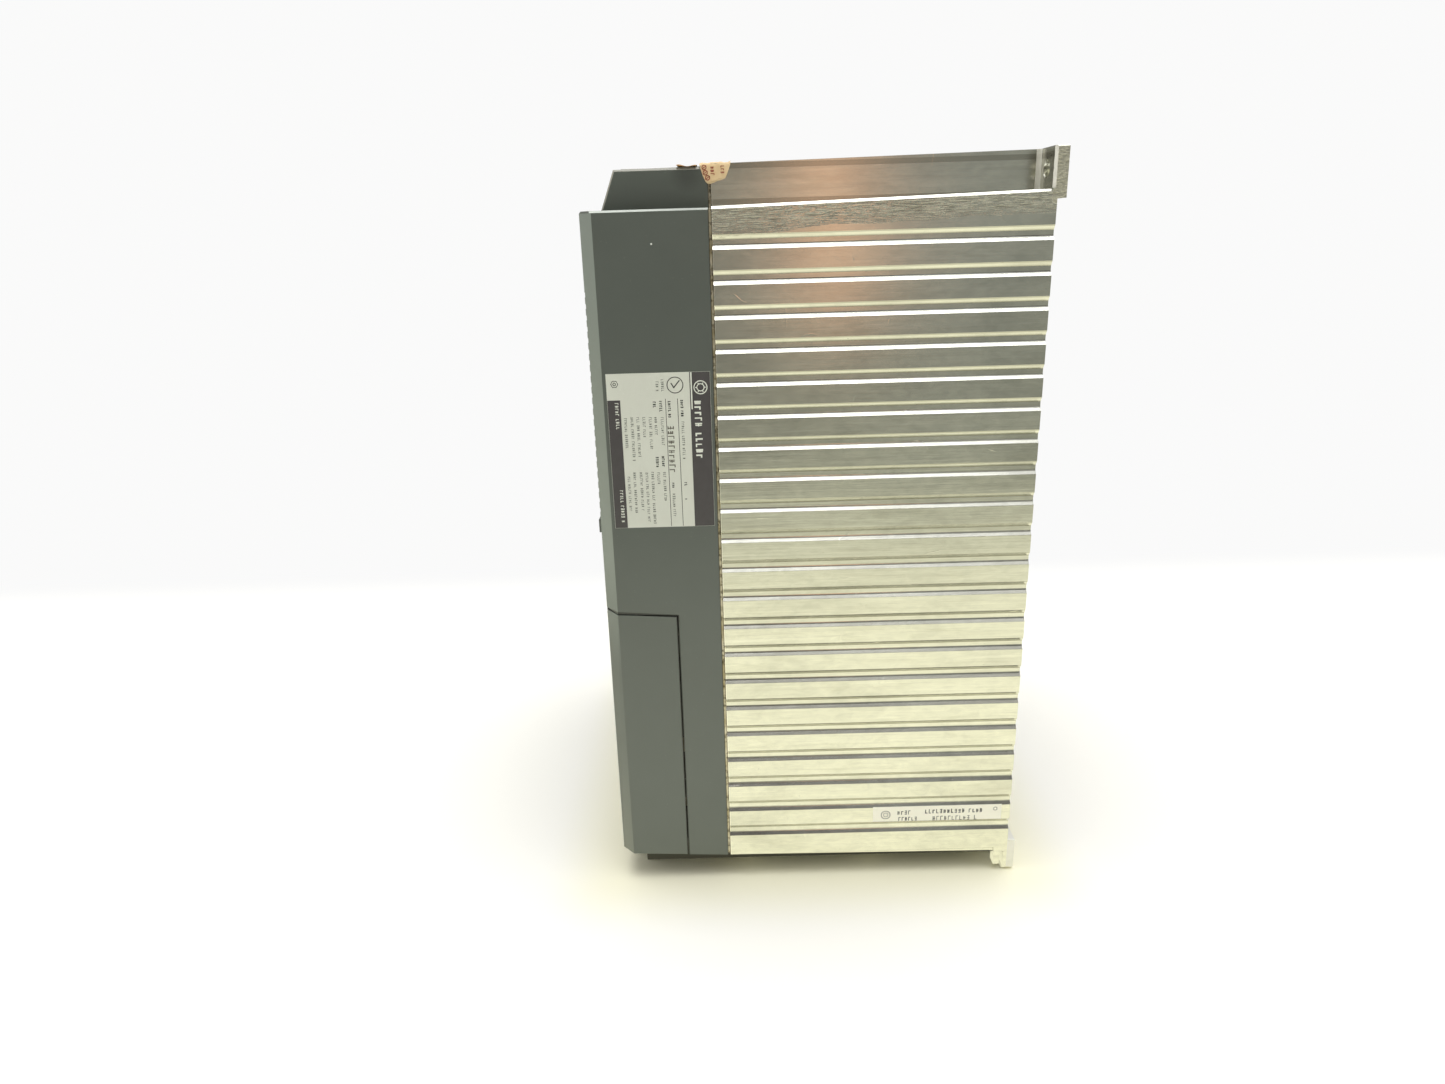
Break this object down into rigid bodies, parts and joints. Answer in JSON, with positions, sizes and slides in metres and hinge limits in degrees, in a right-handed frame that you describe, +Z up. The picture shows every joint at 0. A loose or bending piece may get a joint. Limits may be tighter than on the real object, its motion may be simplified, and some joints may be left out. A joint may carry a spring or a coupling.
{
  "type": "variable frequency drive",
  "caption": "Wall-mount variable frequency drive: ribbed cast aluminium sides, dark plastic front and terminal covers, keypad, finned heat sink, fans and rear mounting flanges.",
  "frame": {"origin": "centre of the bounding box footprint, on the surface that the drive stands on", "axes": "+Z up, -Y the keypad front, +Y the mounting wall, +X the right-hand side when facing the keypad, with the rating labels"},
  "size_m": [0.25, 0.219, 0.3765],
  "materials": {
    "cover_plastic": "fine-textured moulded plastic, dark green-grey",
    "cast_aluminium": "bare cast aluminium, satin, with drawing marks and scratches",
    "sink_aluminium": "extruded, satin",
    "yellow_zinc": "yellow chromate zinc plate",
    "tray_paint": "dark semi-matt paint",
    "galvanised": "zinc plated sheet",
    "screw_steel": "zinc plated",
    "fan_plastic": "black glass-filled plastic",
    "guard_wire": "nickel plated wire",
    "module_plastic": "black moulded case",
    "capacitor_sleeve": "shrink sleeve, dark blue",
    "copper": "tinned copper",
    "board_green": "solder-masked laminate",
    "standoff_brass": "nickel brass",
    "relay_plastic": "ochre case",
    "resistor_ceramic": "white cement",
    "sensor_plastic": "black potted case",
    "film_capacitor": "ochre box",
    "transformer_tape": "yellow tape over a dark core",
    "chip_plastic": "black moulded",
    "terminal_plastic": "black barrier block",
    "connector_plastic": "natural nylon",
    "ribbon_grey": "grey flat cable",
    "keypad_plastic": "fine texture",
    "window_tint": "red tinted window",
    "display_plastic": "black display face",
    "led_lens": "red lens",
    "key_grey": "silicone, light grey",
    "key_green": "silicone, green",
    "key_red": "silicone, red",
    "switch_plastic": "black switch",
    "label_film": "printed polyester film",
    "serial_film": "printed polyester film"
  },
  "bodies": {
    "chassis": {"side_wall_right": "cast_aluminium", "side_wall_left": "cast_aluminium", "heat_sink": "sink_aluminium", "chassis_screws": "screw_steel", "top_grille": "galvanised", "bottom_tray": "tray_paint", "gland_plate": "tray_paint", "base_screws": "screw_steel", "frame_plate": "yellow_zinc", "frame_plate_pillars": "standoff_brass", "fan_bracket": "galvanised", "fan_frames": "fan_plastic", "fan_guards": "guard_wire", "inverter_module": "module_plastic", "rectifier_module": "module_plastic", "bus_capacitors": "capacitor_sleeve", "capacitor_bracket": "galvanised", "bus_bars": "copper", "power_board": "board_green", "board_standoffs": "standoff_brass", "charge_relay": "relay_plastic", "charge_resistor": "resistor_ceramic", "current_sensors": "sensor_plastic", "snubber_capacitors": "film_capacitor", "supply_transformer": "transformer_tape", "filter_capacitors": "capacitor_sleeve", "gate_driver_chips": "chip_plastic", "control_board": "board_green", "control_board_chips": "chip_plastic", "riser_connector": "connector_plastic", "ribbon_cable": "ribbon_grey", "power_terminal_block": "terminal_plastic", "power_terminal_screws": "screw_steel", "ground_terminals": "screw_steel", "control_terminal_block": "terminal_plastic", "control_terminal_screws": "screw_steel", "serial_label": "serial_film"},
    "front_cover_assembly": {"front_cover": "cover_plastic", "cover_screws": "screw_steel", "keypad_housing": "keypad_plastic", "keypad_window": "window_tint", "display_module": "display_plastic", "keypad_board": "board_green", "keypad_leds": "led_lens", "keypad_back": "keypad_plastic", "keypad_socket": "connector_plastic", "key_switches": "switch_plastic", "rating_label": "label_film"},
    "terminal_cover_assembly": {"terminal_cover": "cover_plastic", "terminal_cover_screws": "screw_steel"},
    "key_program_body": {"key_program": "key_grey"},
    "key_up_body": {"key_up": "key_grey"},
    "key_reset_body": {"key_reset": "key_grey"},
    "key_enter_body": {"key_enter": "key_grey"},
    "key_down_body": {"key_down": "key_grey"},
    "key_shift_body": {"key_shift": "key_grey"},
    "key_run_body": {"key_run": "key_green"},
    "key_stop_body": {"key_stop": "key_red"},
    "fan_rotor_left_body": {"fan_rotor_left": "fan_plastic"},
    "fan_rotor_right_body": {"fan_rotor_right": "fan_plastic"}
  },
  "joints": [
    {"name": "front_cover_lift_off", "type": "slide", "parent": "chassis", "child": "front_cover_assembly", "axis": [0, -1, 0], "range_m": [0, 0.12]},
    {"name": "terminal_cover_lift_off", "type": "slide", "parent": "front_cover_assembly", "child": "terminal_cover_assembly", "axis": [0, -1, 0], "range_m": [0, 0.12]},
    {"name": "key_program_press", "type": "slide", "parent": "front_cover_assembly", "child": "key_program_body", "axis": [0, 1, 0], "range_m": [0, 0.0008], "stiffness_N_per_m": 600, "springref_m": -0.0004},
    {"name": "key_up_press", "type": "slide", "parent": "front_cover_assembly", "child": "key_up_body", "axis": [0, 1, 0], "range_m": [0, 0.0008], "stiffness_N_per_m": 600, "springref_m": -0.0004},
    {"name": "key_reset_press", "type": "slide", "parent": "front_cover_assembly", "child": "key_reset_body", "axis": [0, 1, 0], "range_m": [0, 0.0008], "stiffness_N_per_m": 600, "springref_m": -0.0004},
    {"name": "key_enter_press", "type": "slide", "parent": "front_cover_assembly", "child": "key_enter_body", "axis": [0, 1, 0], "range_m": [0, 0.0008], "stiffness_N_per_m": 600, "springref_m": -0.0004},
    {"name": "key_down_press", "type": "slide", "parent": "front_cover_assembly", "child": "key_down_body", "axis": [0, 1, 0], "range_m": [0, 0.0008], "stiffness_N_per_m": 600, "springref_m": -0.0004},
    {"name": "key_shift_press", "type": "slide", "parent": "front_cover_assembly", "child": "key_shift_body", "axis": [0, 1, 0], "range_m": [0, 0.0008], "stiffness_N_per_m": 600, "springref_m": -0.0004},
    {"name": "key_run_press", "type": "slide", "parent": "front_cover_assembly", "child": "key_run_body", "axis": [0, 1, 0], "range_m": [0, 0.0008], "stiffness_N_per_m": 600, "springref_m": -0.0004},
    {"name": "key_stop_press", "type": "slide", "parent": "front_cover_assembly", "child": "key_stop_body", "axis": [0, 1, 0], "range_m": [0, 0.0008], "stiffness_N_per_m": 600, "springref_m": -0.0004},
    {"name": "fan_rotor_left_spin", "type": "hinge", "parent": "chassis", "child": "fan_rotor_left_body", "pos_m": [-0.045, 0.073, 0.03], "axis": [0, 0, 1], "continuous": true},
    {"name": "fan_rotor_right_spin", "type": "hinge", "parent": "chassis", "child": "fan_rotor_right_body", "pos_m": [0.045, 0.073, 0.03], "axis": [0, 0, 1], "continuous": true}
  ]
}
